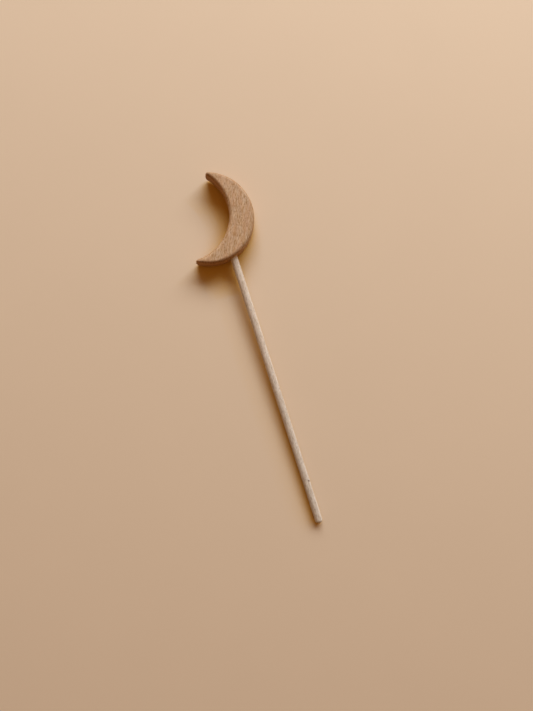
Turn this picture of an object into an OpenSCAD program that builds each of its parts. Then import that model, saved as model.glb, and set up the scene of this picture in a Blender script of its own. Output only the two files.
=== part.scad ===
// Toy magic wand: a wooden crescent moon glued onto a plain round stick.
// The wand lies on its back. Z is up, Y runs along the stick towards the moon, X is to the right.
// The origin is on the moon's back face, straight below the glued end of the stick. Sizes are in mm.

/* [Moon] */
// Radius of the outer edge of the crescent
moon_r = 39.5; // [37:0.5:42]
// Width of the crescent at its thick middle
moon_w = 21.5; // [19:0.5:24]
// How much larger the radius of the hollow edge is than that of the outer edge
hollow_more = 1; // [0:0.5:2.5]
// Thickness of the board that the moon is cut from
moon_t = 15; // [12:0.5:18]
// Rounding of the sanded edges
edge_r = 3; // [1.5:0.1:3.6]
// Rounding of the horn tips, seen from the front
tip_r = 1.2; // [0.8:0.1:2]
// How much larger the rounding of the horn tips is in the side view than half the thickness
nose_more = 4; // [2:0.5:6]
// Lean of the moon on the stick, in degrees
moon_lean = 23.5; // [15:0.5:30]
// Distance from the centre of the moon to the line of the stick
moon_side = 11; // [8:0.5:13]

/* [Stick] */
// Diameter of the stick
stick_d = 6.35; // [5:0.05:7]
// Whole length of the stick, with the glued end
stick_l = 249; // [150:1:300]
// Sanded rounding of the free end
stick_end_r = 1.5; // [0.5:0.1:2]
// Chamfer of the glued end
stick_chamfer = 0.6; // [0.3:0.1:1]
// How much the glued end is sanded thinner towards its tip, on the radius
stick_taper = 0.3; // [0.2:0.05:0.5]
// Length of that taper that shows outside the moon
taper_show = 3; // [2.5:0.5:6]

/* [Joint] */
// Length of the stick that sits inside the moon
glued_l = 12; // [9:0.5:15]
// Thickness of the glue film between the stick and its socket
glue_gap = 0.2; // [0.1:0.05:0.3]

/* [Hidden] */
$fn = 160;

// Extra reach of a cutting body past the face that it cuts
cut_past = 5;
hollow_r = moon_r + hollow_more;
// Distance from the centre of the moon to the centre of the hollow
hollow_shift = moon_w + hollow_more;
stick_r = stick_d / 2;
socket_r = stick_r + glue_gap;
mid_z = moon_t / 2;
nose_r = mid_z + nose_more;

// Centre of the moon: the stick goes in at the outer edge, one glued length below the origin
moon_y = sqrt(moon_r * moon_r - moon_side * moon_side) - glued_l;

// Centre of a horn's tip rounding, in the moon's own axes with the thick middle on +X
tip_outer = moon_r - tip_r;
tip_inner = hollow_r + tip_r;
tip_x = (tip_inner * tip_inner - tip_outer * tip_outer - hollow_shift * hollow_shift) / (2 * hollow_shift);
tip_y = sqrt(tip_outer * tip_outer - tip_x * tip_x);

// Directions in which the tip rounding meets the outer edge and the hollow edge
tip_from = atan2(tip_y, tip_x);
tip_to = 360 + atan2(-tip_y, -hollow_shift - tip_x);
tip_mid = (tip_from + tip_to) / 2;
tip_reach = moon_r / 2;

// Half section of a round board with both rims rounded
module board_section(r) {
    if (r > edge_r) square([r - edge_r, moon_t]);
    translate([0, edge_r]) square([r, moon_t - 2 * edge_r]);
    intersection() {
        square([r, moon_t]);
        for (z = [edge_r, moon_t - edge_r]) translate([r - edge_r, z]) circle(r = edge_r);
    }
}

// Half section of the body that cuts the hollow and rounds its edges
module hollow_section() {
    difference() {
        translate([0, -cut_past]) square([hollow_r + edge_r, moon_t + 2 * cut_past]);
        translate([hollow_r, edge_r]) square([2 * edge_r, moon_t - 2 * edge_r]);
        for (z = [edge_r, moon_t - edge_r]) translate([hollow_r + edge_r, z]) circle(r = edge_r);
    }
}

// Sector at a horn's tip, between the two edges that the tip rounding joins
module tip_sector() {
    function ray(angle) = tip_reach * [cos(angle), sin(angle)];
    translate([tip_x, tip_y, -cut_past])
        linear_extrude(moon_t + 2 * cut_past) polygon([[0, 0], ray(tip_from), ray(tip_mid), ray(tip_to)]);
}

// Rounded end of one horn
module tip_end() {
    intersection() {
        translate([tip_x, tip_y, 0]) rotate_extrude() board_section(tip_r);
        tip_sector();
    }
}

// What sanding takes off one horn to round its nose in the side view
module nose_waste() {
    translate([tip_x, tip_y, mid_z]) rotate([0, 0, tip_mid]) translate([tip_r - nose_r, 0, 0]) difference() {
        translate([0, -nose_r, -moon_t]) cube([2 * nose_r, 2 * nose_r, 2 * moon_t]);
        sphere(r = nose_r);
    }
}

// Crescent in its own axes, thick middle on +X
module crescent() {
    difference() {
        union() {
            difference() {
                rotate_extrude() board_section(moon_r);
                translate([-hollow_shift, 0, 0]) rotate_extrude() hollow_section();
                for (flip = [0, 1]) mirror([0, flip, 0]) tip_sector();
            }
            for (flip = [0, 1]) mirror([0, flip, 0]) tip_end();
        }
        for (flip = [0, 1]) mirror([0, flip, 0]) nose_waste();
    }
}

// Places a body made in the moon's own axes on the stick
module on_stick() {
    translate([-moon_side, moon_y, 0]) rotate([0, 0, -moon_lean]) children();
}

// Cylinder on the line of the stick, from a place along Y towards the free end
module along_stick(r, from_y, length) {
    translate([0, from_y, mid_z]) rotate([90, 0, 0]) cylinder(r = r, h = length);
}

// Drilled socket, open at the moon's outer edge
module socket() {
    along_stick(socket_r, glue_gap, glued_l + glue_gap + 2 * cut_past);
}

// Solid stick: glued end at the origin's place along Y, free end towards -Y
module stick_body() {
    straight_l = stick_l - stick_end_r;
    glued_r = stick_r - stick_taper;
    translate([0, 0, mid_z]) rotate([90, 0, 0]) rotate_extrude() {
        polygon([[0, 0], [glued_r - stick_chamfer, 0], [glued_r, stick_chamfer],
                 [stick_r, glued_l + taper_show], [stick_r, straight_l], [0, straight_l]]);
        square([stick_r - stick_end_r, stick_l]);
        translate([stick_r - stick_end_r, straight_l]) circle(r = stick_end_r);
    }
}

module moon_head() {
    color([0.69, 0.55, 0.42]) difference() {
        on_stick() crescent();
        socket();
    }
}

module stick() {
    color([0.82, 0.74, 0.66]) stick_body();
}

// Dried glue: fills the socket round the stick, flush with the moon's edge
module glue_film() {
    color([0.90, 0.85, 0.70]) difference() {
        intersection() {
            socket();
            on_stick() rotate_extrude() board_section(moon_r);
        }
        stick_body();
    }
}

moon_head();
stick();
glue_film();
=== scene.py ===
import math

import bmesh
import bpy
from mathutils import Matrix, Vector, noise


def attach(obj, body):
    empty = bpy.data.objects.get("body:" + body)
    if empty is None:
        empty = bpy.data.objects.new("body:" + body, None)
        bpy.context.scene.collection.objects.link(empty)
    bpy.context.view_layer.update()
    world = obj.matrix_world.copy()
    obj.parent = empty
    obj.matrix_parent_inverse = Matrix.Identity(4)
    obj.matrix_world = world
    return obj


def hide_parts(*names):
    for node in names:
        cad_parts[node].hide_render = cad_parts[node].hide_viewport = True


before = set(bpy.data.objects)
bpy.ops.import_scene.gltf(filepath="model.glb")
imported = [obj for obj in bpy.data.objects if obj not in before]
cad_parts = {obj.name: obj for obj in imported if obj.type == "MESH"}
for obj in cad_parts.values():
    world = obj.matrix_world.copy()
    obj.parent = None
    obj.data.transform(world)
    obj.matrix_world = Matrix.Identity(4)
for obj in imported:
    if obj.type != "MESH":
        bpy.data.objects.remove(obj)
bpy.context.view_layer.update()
scene = bpy.context.scene
mm = 0.001
print("frame loaded with", ", ".join(sorted(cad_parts)))


class Line:
    # one node output: arithmetic on it adds the nodes, so 1 - mask works
    def __init__(self, tree, socket=None):
        self.tree = tree
        self.socket = socket

    def node(self, kind, settings=None, inputs=None, out=0):
        made = self.tree.nodes.new("ShaderNode" + kind)
        for name, value in (settings or {}).items():
            setattr(made, name, value)
        for name, value in (inputs or {}).items():
            if isinstance(value, Line):
                self.tree.links.new(value.socket, made.inputs[name])
            else:
                made.inputs[name].default_value = value
        return Line(self.tree, made.outputs[out] if made.outputs else None)

    def combine(self, operation, first, second):
        # colours go through Mix, vectors through Vector Math, plain values through Math
        sides = (first, second)
        numbers = [isinstance(side, (int, float)) for side in sides]
        kinds = {side.socket.type if isinstance(side, Line) else len(side)
                 for side, number in zip(sides, numbers) if not number}
        if kinds & {"RGBA", 4}:
            first, second = ((side, side, side, 1) if number else side for side, number in zip(sides, numbers))
            return self.node("Mix", {"data_type": "RGBA", "blend_type": operation},
                             {0: 1.0, 6: first, 7: second}, 2)
        if kinds & {"VECTOR", 3}:
            first, second = ((side, side, side) if number else side for side, number in zip(sides, numbers))
            return self.node("VectorMath", {"operation": operation}, {0: first, 1: second})
        return self.node("Math", {"operation": operation}, {0: first, 1: second})

    def __add__(self, other):
        return self.combine("ADD", self, other)

    def __radd__(self, other):
        return self.combine("ADD", other, self)

    def __sub__(self, other):
        return self.combine("SUBTRACT", self, other)

    def __rsub__(self, other):
        return self.combine("SUBTRACT", other, self)

    def __mul__(self, other):
        return self.combine("MULTIPLY", self, other)

    def __rmul__(self, other):
        return self.combine("MULTIPLY", other, self)

    def __truediv__(self, other):
        return self.combine("DIVIDE", self, other)

    def __rtruediv__(self, other):
        return self.combine("DIVIDE", other, self)


def photoColour(red, green, blue):
    # picture values of 0 to 255 as the linear colour a shader takes
    def straight(value):
        value = value / 255
        return value / 12.92 if value <= 0.04045 else ((value + 0.055) / 1.055) ** 2.4
    return (straight(red), straight(green), straight(blue), 1)


def newMaterial(name):
    material = bpy.data.materials.new(name)
    material.use_nodes = True
    material.node_tree.nodes.clear()
    return material, Line(material.node_tree)


def finishMaterial(sheet, inputs):
    shader = sheet.node("BsdfPrincipled", {}, inputs, "BSDF")
    sheet.node("OutputMaterial", {}, {"Surface": shader})


def ease(sheet, value, low, high):
    # 0 at low, 1 at high, with soft ends
    return sheet.node("MapRange", {"interpolation_type": "SMOOTHSTEP"},
                      {"Value": value, "From Min": low, "From Max": high})


def blend(sheet, amount, first, second):
    return sheet.node("Mix", {"data_type": "RGBA"}, {0: amount, 6: first, 7: second}, 2)


def noiseAt(sheet, place, detail, rough=0.55, scale=1.0):
    return sheet.node("TexNoise", {}, {"Vector": place, "Scale": scale, "Detail": detail, "Roughness": rough}, "Fac")


def dotWith(sheet, first, second):
    return sheet.node("VectorMath", {"operation": "DOT_PRODUCT"}, {0: first, 1: second}, "Value")


def distanceTo(sheet, first, second):
    return sheet.node("VectorMath", {"operation": "DISTANCE"}, {0: first, 1: second}, "Value")


def placeInMm(sheet):
    return sheet.node("TexCoord", {}, {}, "Object") * (1 / mm)


def squareFacing(sheet, axis):
    # 1 where the surface faces along the axis, 0 where it runs along it
    facing = dotWith(sheet, sheet.node("TexCoord", {}, {}, "Normal"), axis)
    return facing * facing


def bumpFrom(sheet, height, strength, depth):
    return sheet.node("Bump", {}, {"Strength": strength, "Distance": depth * mm, "Height": height})


def grainPlace(sheet, degrees):
    # direction of the grain, the place inside the wood in mm, and its parts along, across and through the grain
    angle = math.radians(degrees)
    along = (math.sin(angle), math.cos(angle), 0)
    across = (math.cos(angle), -math.sin(angle), 0)
    place = placeInMm(sheet)
    return along, place, [dotWith(sheet, place, axis) for axis in (along, across, (0, 0, 1))]


def stretch(sheet, parts, lengths):
    # texture place in which one unit is one grain length, width and depth
    x, y, z = (part / length for part, length in zip(parts, lengths))
    return sheet.node("CombineXYZ", {}, {"X": x, "Y": y, "Z": z})


def wanderOff(sheet, parts, plan):
    # the fibres wander a little across and through the wood
    wander = noiseAt(sheet, stretch(sheet, parts, plan["wanderSize"]), detail=2.0) - 0.5
    return [parts[0]] + [part + wander * reach for part, reach in zip(parts[1:], plan["wander"])]


def woodGrain(sheet, parts, plan):
    # streaks and fibres give the tone, and pores and short flecks mark it
    streak = noiseAt(sheet, stretch(sheet, parts, plan["streakSize"]), detail=3.0, rough=0.6)
    fibre = noiseAt(sheet, stretch(sheet, parts, plan["fibreSize"]), detail=2.0, rough=0.5)
    pore = noiseAt(sheet, stretch(sheet, parts, plan["poreSize"]), detail=2.0, rough=0.6)
    cell = stretch(sheet, parts, plan["fleckSize"])
    near = sheet.node("TexVoronoi", {}, {"Vector": cell, "Scale": 1.0}, "Distance")
    tint = sheet.node("TexVoronoi", {}, {"Vector": cell, "Scale": 1.0}, "Color")
    pick = sheet.node("SeparateColor", {}, {"Color": tint}, plan["fleckChannel"])
    fleck = (1 - ease(sheet, near, *plan["fleckReach"])) * ease(sheet, pick, *plan["fleckPick"])
    tone = streak * plan["streakShare"] + fibre * (1 - plan["streakShare"])
    fibreRise, poreRise, fleckDip = 0.5, 0.5, 0.3
    bump = bumpFrom(sheet, fibre * fibreRise + pore * poreRise - fleck * fleckDip, *plan["bump"])
    return tone, pore, fleck, bump


def tonePaint(sheet, tone, plan):
    low, middle, high = plan["toneSteps"]
    paint = blend(sheet, ease(sheet, tone, low, middle), plan["dark"], plan["middle"])
    return blend(sheet, ease(sheet, tone, middle, high), paint, plan["pale"])


def markPaint(sheet, paint, pore, fleck, plan):
    paint = blend(sheet, fleck * plan["fleckAmount"], paint, plan["fleck"])
    return blend(sheet, ease(sheet, pore, *plan["poreRange"]) * plan["poreAmount"], paint, plan["fleck"])


def smoothMesh(mesh, sharpAngle):
    mesh.shade_smooth()
    mesh.set_sharp_from_angle(angle=math.radians(sharpAngle))


def meshPiece(name, points, faces, sharpAngle):
    mesh = bpy.data.meshes.new(name)
    mesh.from_pydata([Vector(point) * mm for point in points], [], faces)
    work = bmesh.new()
    work.from_mesh(mesh)
    bmesh.ops.remove_doubles(work, verts=work.verts, dist=1e-7)
    bmesh.ops.recalc_face_normals(work, faces=work.faces)
    work.to_mesh(mesh)
    work.free()
    smoothMesh(mesh, sharpAngle)
    piece = bpy.data.objects.new(name, mesh)
    scene.collection.objects.link(piece)
    return piece


def ringFaces(ringCount, sides):
    # walls between rings of points that follow each other
    faces = []
    for ring in range(ringCount - 1):
        low, high = ring * sides, (ring + 1) * sides
        for side in range(sides):
            after = (side + 1) % sides
            faces.append((low + side, low + after, high + after, high + side))
    return faces


# crescent moon, cut from a beech board and sanded round
moonPlan = {
    "outerRadius": 39.5,      # mm, as all lengths here
    "hollowRadius": 40.5,
    "hollowShift": 22.5,
    "thickness": 15.0,
    "lean": 23.5,             # degrees
    "centre": (-11.0, 25.937),
    "tipRadius": 1.2,
    "noseRadius": 19.5,       # of the horns in the side view
    "noseSoftness": 0.9,
    "outerRounding": 3.0,
    "hollowRounding": (2.5, 3.3),    # at the upper and at the lower horn
    "cornerSoftness": 0.8,    # eases two roundings together on the thin horns
    "cornerShare": 0.9,       # most that a rounding takes of the half height
    "narrow": 1.0,            # a section below this width has no flat face
    "sandedEdge": 0.12,       # how unevenly the edges are sanded
    "sandedEdgeLength": 17.0,
    "sandedFace": 0.05,       # hand sanding left in the front face
    "sandedFaceLength": 11.0,
    "socketRadius": 3.375,
    "socketEnd": 0.2,
    "drillLength": 30.0,
    "drillSides": 72,
    "bodyStations": 240,
    "tipStations": 14,
    "wallSteps": 10,
    "cornerSteps": 10,
    "faceSteps": 26,
    "sharpAngle": 38.0,       # degrees
    # the beech: colours, then sizes in mm along, across and through the grain
    "pale": photoColour(201, 165, 132),
    "middle": photoColour(184, 146, 111),
    "dark": photoColour(159, 116, 72),
    "fleck": photoColour(135, 89, 40),
    "ruddy": photoColour(187, 137, 100),
    "coolTint": (0.98, 1.0, 1.045, 1),
    "rosyTint": (1.02, 0.995, 0.95, 1),
    "endTint": (0.55, 0.38, 0.17, 1),     # open end grain is darker and browner
    "sideGrainAndShadeTint": (1.06, 0.99, 0.76, 1),    # the sawn sides are more golden than the faces, partly their own colour and partly painted warm shade
    "rimBurnishAndShade": (0.89, 0.87, 0.84, 1),     # the outer rim is burnished by sanding, and its darkening is partly painted shade on the rounded edge
    "wanderSize": (38, 16, 16),
    "streakSize": (20, 1.5, 3.0),
    "fibreSize": (3.0, 0.5, 0.8),
    "poreSize": (1.5, 0.16, 0.16),
    "fleckSize": (2.3, 0.72, 3.2),
    "patchSize": (15, 5, 5),
    "blushSize": (7, 1.8, 2.2),
    "wander": (2.4, 1.6),     # mm across and through
    "streakShare": 0.22,      # the fibres give the rest of the tone
    "toneSteps": (0.38, 0.50, 0.62),
    "fleckChannel": "Red",
    "fleckReach": (0.16, 0.44),
    "fleckPick": (0.35, 0.7),
    "fleckAmount": 0.66,
    "poreRange": (0.58, 0.72),
    "poreAmount": 0.35,
    "patchRange": (0.4, 0.65),
    "patchAmount": 0.4,
    "blushRange": (0.4, 0.62),
    "pith": (-26.0, -62.0),   # mm across and through, the middle of the growth rings
    "ringWidth": 2.6,
    "lateWood": (0.45, 0.97, 1.0),   # start, peak and end of the dark wood in a ring
    "lateAmount": 0.2,
    "endRange": (0.05, 0.55),
    "endAmount": 0.6,
    "wallRange": (0.05, 0.4),
    "wallAmount": 0.9,
    "rimDepth": (3.2, 1.6),   # mm in from the outer edge, where the rim starts and where it is full
    "roughness": 0.6,
    "toneRough": 0.25,
    "endRough": 0.12,
    "fleckRough": 0.06,
    "specular": 0.2,
    "bump": (0.35, 0.08),     # strength, and depth in mm
}


def softLower(first, second, soft):
    # the lower of two values, with the corner between them rounded off
    gap = max(soft - abs(first - second), 0) / soft
    return min(first, second) - gap * gap * soft / 4


def moonRungs(plan):
    # outer point, hollow point and half height of each section, from one tip to the other
    radius, hollow = plan["outerRadius"], plan["hollowRadius"]
    shift, tip = plan["hollowShift"], plan["tipRadius"]
    tipX = ((hollow + tip) ** 2 - (radius - tip) ** 2 - shift ** 2) / (2 * shift)
    tipY = math.sqrt((radius - tip) ** 2 - tipX ** 2)
    outerTurn = math.atan2(tipY, tipX)
    hollowTurn = math.atan2(tipY, shift + tipX)
    tipMiddle = (outerTurn + math.pi + hollowTurn) / 2
    tipSpread = tipMiddle - outerTurn
    tipAxis = Vector((math.cos(tipMiddle), math.sin(tipMiddle)))
    noseCentre = Vector((tipX, tipY)) + tipAxis * (tip - plan["noseRadius"])
    half = plan["thickness"] / 2

    def halfHeight(point):
        reach = (Vector((point.x, abs(point.y))) - noseCentre).dot(tipAxis)
        if reach <= 0:
            return half
        nose = math.sqrt(max(plan["noseRadius"] ** 2 - reach ** 2, 0))
        return softLower(half, nose, plan["noseSoftness"]) if nose > plan["noseSoftness"] else nose

    upper = []
    for step in range(1, plan["tipStations"]):
        spread = tipSpread * step / plan["tipStations"]
        turns = (tipMiddle - spread, tipMiddle + spread)
        upper.append([Vector((tipX + tip * math.cos(turn), tipY + tip * math.sin(turn))) for turn in turns])
    body = []
    for step in range(plan["bodyStations"] + 1):
        share = 1 - 2 * step / plan["bodyStations"]
        outer = Vector((math.cos(outerTurn * share), math.sin(outerTurn * share))) * radius
        inner = Vector((math.cos(hollowTurn * share), math.sin(hollowTurn * share))) * hollow
        body.append([outer, inner - Vector((shift, 0))])
    lower = [[Vector((point.x, -point.y)) for point in pair] for pair in reversed(upper)]
    rungs = [(outer, inner, halfHeight((outer + inner) / 2)) for outer, inner in upper + body + lower]
    apex = Vector((tipX, tipY)) + tipAxis * tip
    return rungs, [apex, Vector((apex.x, -apex.y))]


def moonCorners(middle, width, half, share, plan):
    # width and height of the four roundings of one section: outer and hollow in front, hollow and outer behind
    upperHollow, lowerHollow = plan["hollowRounding"]
    hollow = upperHollow + (lowerHollow - upperHollow) * share
    outer = plan["outerRounding"]
    spot = middle / plan["sandedEdgeLength"]
    seedStep = 3.7
    corners = []
    for index, size in enumerate((outer, hollow, hollow, outer)):
        size *= 1 + plan["sandedEdge"] * noise.noise(Vector((spot.x, spot.y, seedStep * index)))
        wide = width / 2
        if width > plan["narrow"]:
            wide = softLower(size, wide, plan["cornerSoftness"])
        corners.append((wide, min(size, half * plan["cornerShare"])))
    return corners


def moonRing(outer, inner, half, share, plan):
    # one section: over the front face, down the hollow wall, back along the back face, up the outer wall
    across = inner - outer
    width = across.length
    across.normalize()
    corners = moonCorners((outer + inner) / 2, width, half, share, plan)
    path = ((0, 1, 1), (width, -1, 1), (width, -1, -1), (0, 1, -1))    # corner place, inward sense, up or down
    ring = []
    for index, (place, inward, up) in enumerate(path):
        wide, tall = corners[index]
        for step in range(plan["cornerSteps"] + 1):
            turn = math.pi / 2 * step / plan["cornerSteps"]
            if index % 2:
                turn = math.pi / 2 - turn
            ring.append((place + inward * wide * (1 - math.cos(turn)),
                         up * (half - tall + tall * math.sin(turn))))
        following = (index + 1) % len(path)
        nextPlace, nextInward, nextUp = path[following]
        nextWide, nextTall = corners[following]
        start = ring[-1]
        if index % 2:
            end = (nextPlace, nextUp * (half - nextTall))
            steps = plan["wallSteps"]
        else:
            end = (nextPlace + nextInward * nextWide, nextUp * half)
            steps = plan["faceSteps"]
        for step in range(1, steps):
            part = step / steps
            ring.append((start[0] + (end[0] - start[0]) * part, start[1] + (end[1] - start[1]) * part))
    return [(outer.x + across.x * reach, outer.y + across.y * reach, height) for reach, height in ring]


def drillSocket(moon, height, plan):
    # blind hole for the stick
    radius, depth = plan["socketRadius"] * mm, plan["drillLength"] * mm
    aim = Matrix.Translation((0, plan["socketEnd"] * mm - depth / 2, height * mm))
    drill = bmesh.new()
    bmesh.ops.create_cone(drill, cap_ends=True, segments=plan["drillSides"], radius1=radius, radius2=radius,
                          depth=depth, matrix=aim @ Matrix.Rotation(math.pi / 2, 4, "X"))
    drillMesh = bpy.data.meshes.new("drill")
    drill.to_mesh(drillMesh)
    drill.free()
    drillPiece = bpy.data.objects.new("drill", drillMesh)
    scene.collection.objects.link(drillPiece)
    bore = moon.modifiers.new("socket", "BOOLEAN")
    bore.operation = "DIFFERENCE"
    bore.solver = "EXACT"
    bore.object = drillPiece
    drilled = moon.evaluated_get(bpy.context.evaluated_depsgraph_get())
    bored = bpy.data.meshes.new_from_object(drilled)
    moon.modifiers.clear()
    moon.data = bored
    bpy.data.objects.remove(drillPiece)
    smoothMesh(bored, plan["sharpAngle"])


def buildMoon(plan):
    rungs, apexes = moonRungs(plan)
    turn = Matrix.Rotation(math.radians(-plan["lean"]), 3, "Z")
    place = Vector((*plan["centre"], plan["thickness"] / 2))
    faceSeed = Vector((5, 9, 2))
    points = []
    for index, (outer, inner, half) in enumerate(rungs):
        for point in moonRing(outer, inner, half, index / (len(rungs) - 1), plan):
            spot = Vector(point)
            if spot.z > 0:    # the front was sanded by hand
                worn = noise.noise(spot / plan["sandedFaceLength"] + faceSeed) * plan["sandedFace"]
                spot.z += worn * (half / plan["noseRadius"])
            points.append(turn @ spot + place)
    sides = len(points) // len(rungs)
    faces = ringFaces(len(rungs), sides)
    for apex, first in zip(apexes, (0, (len(rungs) - 1) * sides)):
        points.append(turn @ Vector((apex.x, apex.y, 0)) + place)
        for side in range(sides):
            faces.append((len(points) - 1, first + side, first + (side + 1) % sides))
    moon = meshPiece("moon", points, faces, plan["sharpAngle"])
    drillSocket(moon, place.z, plan)
    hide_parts("moon_head")
    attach(moon, "root")
    return moon


def beechMaterial(plan):
    material, sheet = newMaterial("moonBeech")
    along, place, parts = grainPlace(sheet, plan["lean"])
    parts = wanderOff(sheet, parts, plan)
    tone, pore, fleck, bump = woodGrain(sheet, parts, plan)

    # growth rings round the pith
    across, through = (part - middle for part, middle in zip(parts[1:], plan["pith"]))
    fromPith = sheet.node("Math", {"operation": "SQRT"}, {0: across * across + through * through})
    ring = sheet.node("Math", {"operation": "FRACT"}, {0: fromPith / plan["ringWidth"]})
    start, peak, end = plan["lateWood"]
    late = ease(sheet, ring, start, peak) * (1 - ease(sheet, ring, peak, end))

    paint = tonePaint(sheet, tone, plan)
    patch = noiseAt(sheet, stretch(sheet, parts, plan["patchSize"]), detail=2.0)
    paint = blend(sheet, ease(sheet, patch, *plan["patchRange"]) * plan["patchAmount"], paint, plan["ruddy"])
    blush = noiseAt(sheet, stretch(sheet, parts, plan["blushSize"]), detail=1.0)
    paint = paint * blend(sheet, ease(sheet, blush, *plan["blushRange"]), plan["coolTint"], plan["rosyTint"])
    paint = blend(sheet, late * plan["lateAmount"], paint, plan["dark"])
    paint = markPaint(sheet, paint, pore, fleck, plan)

    # end grain, sawn sides with a golden tint that is partly painted warm shade, and the rim, burnished and partly
    # darkened with painted shade
    endGrain = ease(sheet, squareFacing(sheet, along), *plan["endRange"])
    paint = blend(sheet, endGrain * plan["endAmount"], paint, paint * plan["endTint"])
    wall = 1 - ease(sheet, squareFacing(sheet, (0, 0, 1)), *plan["wallRange"])
    # the golden tint on the sides is partly their own colour and partly painted warm shade
    paint = blend(sheet, wall * plan["wallAmount"], paint, paint * plan["sideGrainAndShadeTint"])
    fromCentre = distanceTo(sheet, place * (1, 1, 0), (*plan["centre"], 0))
    rimStart, rimFull = (plan["outerRadius"] - depth for depth in plan["rimDepth"])
    rim = ease(sheet, fromCentre, rimStart, rimFull) * (1 - wall)
    # the rim darkening is partly burnish and partly painted shade
    paint = blend(sheet, rim, paint, paint * plan["rimBurnishAndShade"])

    rough = plan["roughness"] + (tone - 0.5) * plan["toneRough"]
    rough = rough + endGrain * plan["endRough"] + fleck * plan["fleckRough"]
    finishMaterial(sheet, {"Base Color": paint, "Roughness": rough, "Normal": bump,
                           "Specular IOR Level": plan["specular"]})
    return material


moon = buildMoon(moonPlan)
moon.data.materials.clear()
moon.data.materials.append(beechMaterial(moonPlan))
print("moon cut with", len(moon.data.polygons), "faces")

# plain round stick, rounded by hand at its free end
stickPlan = {
    "radius": 3.175,          # mm, as all lengths here
    "length": 249.0,
    "gluedRadius": 2.875,
    "gluedChamfer": 0.6,
    "taperEnd": 15.0,         # from the glued end, as all places here
    "taperSteps": 10,
    "endRounding": 2.8,
    "endSteps": 10,
    "endRings": (0.75, 0.5, 0.25),    # rings of the small end face, as shares of its radius
    "endUneven": 0.12,        # share of the rounding
    "endUnevenScale": 1.3,
    "axisHeight": 7.5,
    "sides": 80,
    "ringGap": 1.2,
    "outOfRound": 0.03,
    "slowUneven": (0.8, 30.0),    # noise scale round the stick, and length along it
    "fastUneven": (5.0, 9.0),
    "fastShare": 0.25,
    "trueLength": 5.0,        # over which it goes out of round, past the taper
    "pitPlace": 212.3,
    "pitTurn": 43.0,          # degrees up from the right
    "pitRadius": 1.05,
    "pitDepth": 0.4,
    "pitRings": 8,            # extra rings on each side of the pit
    "pitRingGap": 0.15,
    "sharpAngle": 38.0,       # degrees
    # the wood: colours, then sizes in mm along, across and through the grain
    "pale": photoColour(226, 208, 191),
    "middle": photoColour(212, 191, 171),
    "dark": photoColour(188, 163, 140),
    "fleck": photoColour(135, 109, 91),
    # painted shade inside the pit
    "pit": photoColour(98, 58, 44),
    "grainSlope": 4.0,        # degrees off the stick's line
    "wanderSize": (40, 9, 9),
    "streakSize": (10.5, 0.72, 0.9),
    "fibreSize": (2.8, 0.5, 0.55),
    "poreSize": (1.8, 0.14, 0.14),
    "fleckSize": (2.7, 0.75, 0.75),
    "wander": (2.4, 1.8),     # mm across and through
    "streakShare": 0.52,      # the fibres give the rest of the tone
    "toneSteps": (0.38, 0.50, 0.62),
    "fleckChannel": "Green",
    "fleckReach": (0.15, 0.40),
    "fleckPick": (0.5, 0.8),
    "fleckAmount": 0.65,
    "poreRange": (0.6, 0.74),
    "poreAmount": 0.35,
    "darkeningRange": (60.0, 215.0),    # where it begins to get darker towards the free end, and where it is darkest
    "gluedEndShare": 1.02,            # share of the colour kept near the glued end
    # share of the colour kept at the free end
    "darkerEnd": 0.9,
    "pitRange": (0.6, 1.15),
    "pitShadeAmount": 0.95,
    "endRange": (0.3, 0.95),
    "endAmount": 0.4,
    "roughness": 0.75,
    "toneRough": 0.2,
    "endRough": 0.1,
    "specular": 0.2,
    "chalky": 1.0,            # how evenly the bare wood scatters light
    "subsurface": 0.3,
    "subsurfaceTint": (1.0, 0.9, 0.8),
    "subsurfaceReach": 2.0,   # mm
    "bump": (0.35, 0.07),     # strength, and depth in mm
}


def stickProfile(plan):
    # distance from the glued end and radius of each ring
    full, glued, chamfer = plan["radius"], plan["gluedRadius"], plan["gluedChamfer"]
    straightEnd = plan["length"] - plan["endRounding"]
    profile = [(0, glued - chamfer), (chamfer, glued)]
    for step in range(1, plan["taperSteps"] + 1):
        share = step / plan["taperSteps"]
        profile.append((chamfer + (plan["taperEnd"] - chamfer) * share, glued + (full - glued) * share))
    ringCount = int((straightEnd - plan["taperEnd"]) / plan["ringGap"])
    places = [plan["taperEnd"] + plan["ringGap"] * step for step in range(1, ringCount)]
    pitSteps = range(-plan["pitRings"], plan["pitRings"] + 1)
    places += [plan["pitPlace"] + plan["pitRingGap"] * step for step in pitSteps]
    profile += [(place, full) for place in sorted(places)]
    for step in range(plan["endSteps"] + 1):
        turn = math.pi / 2 * step / plan["endSteps"]
        profile.append((straightEnd + plan["endRounding"] * math.sin(turn),
                        full - plan["endRounding"] * (1 - math.cos(turn))))
    return profile


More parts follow.
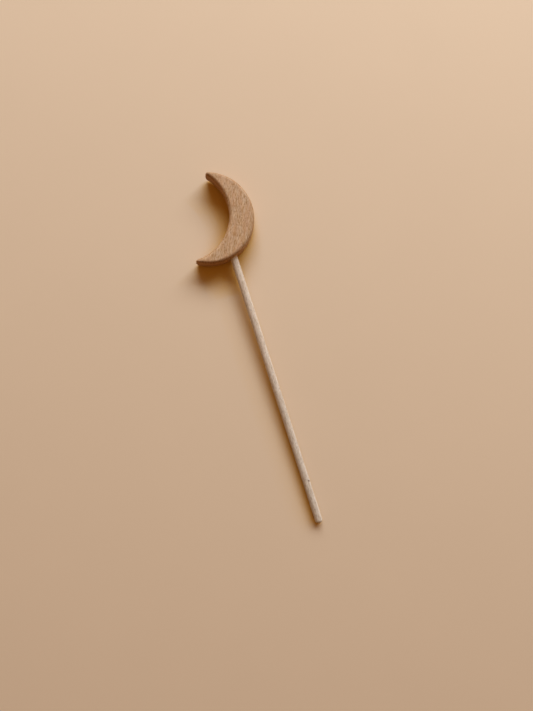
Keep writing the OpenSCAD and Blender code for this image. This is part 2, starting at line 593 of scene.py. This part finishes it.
def buildStick(plan):
    sides, height, length = plan["sides"], plan["axisHeight"], plan["length"]
    straightEnd = length - plan["endRounding"]
    pitTurn = math.radians(plan["pitTurn"])
    turns = [2 * math.pi * side / sides for side in range(sides)]
    endSeed = Vector((0, 0, 7.1))

    def unevenAt(x, z, place, scale, along):
        return noise.noise(Vector((x * scale, z * scale, place / along))) * plan["outOfRound"]

    def handSanded(x, z, reach):
        # how far the hand-rounded end is out of true
        spot = Vector((x, z, 0)) / plan["radius"] * plan["endUnevenScale"]
        return noise.noise(spot + endSeed) * plan["endUneven"] * reach

    profile = stickProfile(plan)
    points = []
    for place, radius in profile:
        free = min(max((place - plan["taperEnd"]) / plan["trueLength"], 0), 1)
        for turn in turns:
            x, z = math.cos(turn), math.sin(turn)
            uneven = unevenAt(x, z, place, *plan["slowUneven"])
            uneven += unevenAt(x, z, place, *plan["fastUneven"]) * plan["fastShare"]
            away = radius + uneven * free
            along = place
            if place > straightEnd:
                along += handSanded(x * radius, z * radius, place - straightEnd)
            near = math.hypot((turn - pitTurn) * radius, place - plan["pitPlace"]) / plan["pitRadius"]
            if near < 1:
                away -= plan["pitDepth"] * (1 - near * near) ** 2
            points.append((x * away, -along, z * away + height))

    # the small end face, as rings that close on a point
    flat = plan["radius"] - plan["endRounding"]
    for share in plan["endRings"]:
        for turn in turns:
            x, z = math.cos(turn) * flat * share, math.sin(turn) * flat * share
            points.append((x, -length - handSanded(x, z, plan["endRounding"]), z + height))
    ringCount = len(profile) + len(plan["endRings"])
    faces = ringFaces(ringCount, sides)
    points.append((0, -length - handSanded(0, 0, plan["endRounding"]), height))
    points.append((0, 0, height))
    freePoint, gluedPoint = len(points) - 2, len(points) - 1
    lastRing = (ringCount - 1) * sides
    for side in range(sides):
        after = (side + 1) % sides
        faces.append((freePoint, lastRing + side, lastRing + after))
        faces.append((gluedPoint, after, side))
    stick = meshPiece("dowel", points, faces, plan["sharpAngle"])
    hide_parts("stick")
    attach(stick, "root")
    return stick


def dowelMaterial(plan):
    material, sheet = newMaterial("stickDowel")
    along, place, parts = grainPlace(sheet, plan["grainSlope"])
    parts = wanderOff(sheet, parts, plan)
    tone, pore, fleck, bump = woodGrain(sheet, parts, plan)
    paint = markPaint(sheet, tonePaint(sheet, tone, plan), pore, fleck, plan)

    # the wood gets a little darker towards the free end
    start, full = plan["darkeningRange"]
    darkerEnd = ease(sheet, parts[0], -start, -full)
    paint = paint * (plan["gluedEndShare"] - darkerEnd * (plan["gluedEndShare"] - plan["darkerEnd"]))

    # painted shade: the pit is painted dark inside
    turn, radius = math.radians(plan["pitTurn"]), plan["radius"]
    pit = (math.cos(turn) * radius, -plan["pitPlace"], math.sin(turn) * radius + plan["axisHeight"])
    pitShadeMask = 1 - ease(sheet, distanceTo(sheet, place, pit), *plan["pitRange"])
    paint = blend(sheet, pitShadeMask * plan["pitShadeAmount"], paint, plan["pit"])

    endGrain = ease(sheet, squareFacing(sheet, along), *plan["endRange"])
    paint = blend(sheet, endGrain * plan["endAmount"], paint, plan["dark"])
    rough = plan["roughness"] + (tone - 0.5) * plan["toneRough"] + endGrain * plan["endRough"]
    finishMaterial(sheet, {"Base Color": paint, "Roughness": rough, "Normal": bump,
                           "Specular IOR Level": plan["specular"], "Diffuse Roughness": plan["chalky"],
                           "Subsurface Weight": plan["subsurface"], "Subsurface Radius": plan["subsurfaceTint"],
                           "Subsurface Scale": plan["subsurfaceReach"] * mm})
    return material


stick = buildStick(stickPlan)
stick.data.materials.append(dowelMaterial(stickPlan))
print("stick turned with", len(stick.data.polygons), "faces")

# dried glue round the stick, with a small bead at the mouth of the socket
gluePlan = {
    "sides": 80,
    "rings": 16,
    "bead": 0.22,             # mm, as all lengths here
    "beadUneven": 0.5,
    "beadUnevenScale": 1.5,
    "beadMiddle": (0.45, 0.4),    # shares of its height, and of the way to the socket's wall
    "mouthStep": 0.01,
    "socketGap": 0.004,
    "sharpAngle": 50.0,       # degrees
    "clear": photoColour(205, 176, 128),
    "cloudy": photoColour(222, 200, 160),
    "dusty": photoColour(170, 132, 92),
    "cloudScale": 0.9,        # per mm
    "cloudRange": (0.35, 0.65),
    "dustScale": 6.0,
    "dustRange": (0.55, 0.75),
    "dustAmount": 0.4,
    "roughness": 0.34,
    "dustRough": 0.2,
    "bump": (0.4, 0.06),      # strength, and depth in mm
}


def buildGlue(plan, moonSize, stickSize):
    centreX, centreY = moonSize["centre"]
    socket, wall = moonSize["socketRadius"], moonSize["outerRadius"]
    inside, glued = stickSize["gluedChamfer"], stickSize["gluedRadius"]
    slope = (stickSize["radius"] - glued) / (stickSize["taperEnd"] - inside)
    sides, steps = plan["sides"], range(plan["rings"] + 1)
    beadSeed = 4.2

    def stickRadius(place):
        return glued + slope * (place - inside)

    # the skin of the glue: along the stick from the inner end to the mouth, over the bead, back along the socket
    points = []
    for side in range(sides):
        turn = 2 * math.pi * side / sides
        x, z = math.cos(turn), math.sin(turn)
        mouth = math.sqrt(wall ** 2 - (x * socket - centreX) ** 2) - centreY
        uneven = noise.noise(Vector((x * plan["beadUnevenScale"], z * plan["beadUnevenScale"], beadSeed)))
        bead = plan["bead"] * (1 + plan["beadUneven"] * uneven)
        up, over = plan["beadMiddle"]
        outer = socket - plan["socketGap"]
        places = [inside + (mouth - inside) * step / plan["rings"] for step in steps]
        row = [(place, stickRadius(place)) for place in places]
        row.append((mouth + bead, stickRadius(mouth + bead)))
        row.append((mouth + bead * up, stickRadius(mouth) + (socket - stickRadius(mouth)) * over))
        row.append((mouth + plan["mouthStep"], outer))
        row += [(place - plan["mouthStep"], outer) for place in reversed(places)]
        points += [(x * away, -place, z * away + stickSize["axisHeight"]) for place, away in row]
    count = len(points) // sides
    faces = []
    for side in range(sides):
        first, second = side * count, (side + 1) % sides * count
        for step in range(count):
            ahead = (step + 1) % count
            faces.append((first + step, first + ahead, second + ahead, second + step))
    glue = meshPiece("glue", points, faces, plan["sharpAngle"])
    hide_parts("glue_film")
    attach(glue, "root")
    return glue


def glueMaterial(plan):
    material, sheet = newMaterial("driedGlue")
    place = placeInMm(sheet)
    cloud = noiseAt(sheet, place, detail=3.0, scale=plan["cloudScale"])
    dust = noiseAt(sheet, place, detail=2.0, scale=plan["dustScale"])
    paint = blend(sheet, ease(sheet, cloud, *plan["cloudRange"]), plan["clear"], plan["cloudy"])
    paint = blend(sheet, ease(sheet, dust, *plan["dustRange"]) * plan["dustAmount"], paint, plan["dusty"])
    rough = plan["roughness"] + dust * plan["dustRough"]
    bump = bumpFrom(sheet, cloud + dust * plan["dustAmount"], *plan["bump"])
    finishMaterial(sheet, {"Base Color": paint, "Roughness": rough, "Normal": bump})
    return material


glue = buildGlue(gluePlan, moonPlan, stickPlan)
glue.data.materials.append(glueMaterial(gluePlan))
print("glue set with", len(glue.data.polygons), "faces")

# soft light from one broad window, in a warm dim room
lightPlan = {
    "turn": 57.2,             # degrees from +X
    "lift": 30.5,             # degrees above the paper
    "far": 2.5,               # m
    "size": (2.9, 1.05),
    "colour": (0.728, 0.847, 0.942),
    "watts": 135.0,
    "roomColour": (0.272, 0.155, 0.06, 1),
}


def towardsWindow(plan):
    turn, lift = math.radians(plan["turn"]), math.radians(plan["lift"])
    return Vector((math.cos(turn) * math.cos(lift), math.sin(turn) * math.cos(lift), math.sin(lift)))


def seenRay(sheet):
    # 1 for what the camera sees, also in a mirror or through glass
    seen = 0
    for name in ("Is Camera Ray", "Is Glossy Ray", "Is Transmission Ray"):
        ray = sheet.node("LightPath", {}, {}, name)
        seen = sheet.node("Math", {"operation": "MAXIMUM"}, {0: seen, 1: ray})
    return seen


def buildWindow(plan):
    towards = towardsWindow(plan)
    lamp = bpy.data.lights.new("window", "AREA")
    lamp.shape = "RECTANGLE"
    lamp.size, lamp.size_y = plan["size"]
    lamp.color = plan["colour"]
    lamp.energy = plan["watts"]
    holder = bpy.data.objects.new("window", lamp)
    holder.location = towards * plan["far"]
    holder.rotation_euler = towards.to_track_quat("Z", "Y").to_euler()
    scene.collection.objects.link(holder)


def buildRoom(plan, backdrop):
    world = bpy.data.worlds.new("room")
    scene.world = world
    world.use_nodes = True
    world.node_tree.nodes.clear()
    sheet = Line(world.node_tree)
    shown = blend(sheet, seenRay(sheet), plan["roomColour"], backdrop)
    glow = sheet.node("Background", {}, {"Color": shown, "Strength": 1.0})
    sheet.node("OutputWorld", {}, {"Surface": glow})


# sheet of plain paper that the wand rests on: it touches the moon's lower back edge and the stick's free end
paperPlan = {
    "width": 5.0,             # m
    "segments": 40,
    "touch": (5.8, -6.46),    # mm, where the moon's back edge touches
    "rise": (0.00937, -0.01812),
    "colour": photoColour(214, 184, 155),
    "base": 0.972,            # least share of the colour, before fibres and clouds
    "fibre": (0.9, 0.026),    # scale per mm, and share of the colour
    "cloud": (0.012, 0.03),
    # painted shadow: a warm tint laid on the paper in the wand's shade
    "paintedShadow": photoColour(213, 156, 28),
    "paintedShadowReach": 30.0,        # mm from the wand
    "paintedShadowRange": (0.14, 0.42),
    "paintedShadowAmount": 0.8,
    "roughness": 0.9,
    "specular": 0.15,
    "bump": (0.1, 0.1),       # strength, and depth in mm
    "middle": (-25.0, -115.0, 0.0),
    "fade": (400.0, 850.0),   # mm from the middle
}


def paperMaterial(plan, light):
    material, sheet = newMaterial("peachPaper")
    place = placeInMm(sheet)
    fibreScale, fibreShare = plan["fibre"]
    cloudScale, cloudShare = plan["cloud"]
    fibre = noiseAt(sheet, place, detail=4.0, rough=0.7, scale=fibreScale)
    cloud = noiseAt(sheet, place, detail=3.0, scale=cloudScale)
    paint = plan["colour"] * (plan["base"] + fibre * fibreShare + cloud * cloudShare)

    # painted shadow: the paper is tinted warmer where the wand hides the window
    window = sheet.node("CombineXYZ", {}, dict(zip("XYZ", towardsWindow(light))))
    clear = sheet.node("AmbientOcclusion", {"samples": 8},
                       {"Distance": plan["paintedShadowReach"] * mm, "Normal": window}, "AO")
    shade = ease(sheet, 1 - clear, *plan["paintedShadowRange"])
    paint = blend(sheet, shade * plan["paintedShadowAmount"], paint, plan["paintedShadow"])
    shader = sheet.node("BsdfPrincipled", {}, {"Base Color": paint, "Roughness": plan["roughness"],
                                               "Normal": bumpFrom(sheet, fibre, *plan["bump"]),
                                               "Specular IOR Level": plan["specular"]}, "BSDF")

    # far from the wand the paper runs into the plain backdrop
    fade = ease(sheet, distanceTo(sheet, place, plan["middle"]), *plan["fade"]) * seenRay(sheet)
    backdrop = sheet.node("Emission", {}, {"Color": plan["colour"], "Strength": 1.0})
    shown = sheet.node("MixShader", {}, {0: fade, 1: shader, 2: backdrop})
    sheet.node("OutputMaterial", {}, {"Surface": shown})
    return material


def buildPaper(plan, light):
    riseX, riseY = plan["rise"]
    touchX, touchY = (value * mm for value in plan["touch"])
    work = bmesh.new()
    bmesh.ops.create_grid(work, x_segments=plan["segments"], y_segments=plan["segments"], size=plan["width"] / 2)
    for vert in work.verts:
        vert.co.z = (vert.co.x - touchX) * riseX + (vert.co.y - touchY) * riseY
    mesh = bpy.data.meshes.new("paper")
    work.to_mesh(mesh)
    work.free()
    mesh.shade_smooth()
    mesh.materials.append(paperMaterial(plan, light))
    paper = bpy.data.objects.new("paper", mesh)
    scene.collection.objects.link(paper)


buildPaper(paperPlan, lightPlan)
buildWindow(lightPlan)
buildRoom(lightPlan, paperPlan["colour"])
scene.view_settings.view_transform = "Standard"
print("paper laid, window and room lit")

# camera almost straight above, a little to the left of the wand
cameraPlan = {
    "place": (-34.49, -113.84, 462.31),   # mm, as all lengths here
    "right": (0.9493, -0.3076, 0.0647),
    "up": (0.3047, 0.9511, 0.0515),
    "lens": 27.04,
    "sensor": 36.0,
    "nearest": 10.0,          # what is closer isn't seen
}


def buildCamera(plan):
    eye = bpy.data.cameras.new("eye")
    eye.lens = plan["lens"]
    eye.sensor_width = plan["sensor"]
    eye.clip_start = plan["nearest"] * mm
    camera = bpy.data.objects.new("eye", eye)
    right = Vector(plan["right"]).normalized()
    back = right.cross(Vector(plan["up"])).normalized()
    axes = Matrix((right, back.cross(right), back)).transposed()
    camera.matrix_world = Matrix.Translation(Vector(plan["place"]) * mm) @ axes.to_4x4()
    scene.collection.objects.link(camera)
    scene.camera = camera


buildCamera(cameraPlan)
print("camera set")
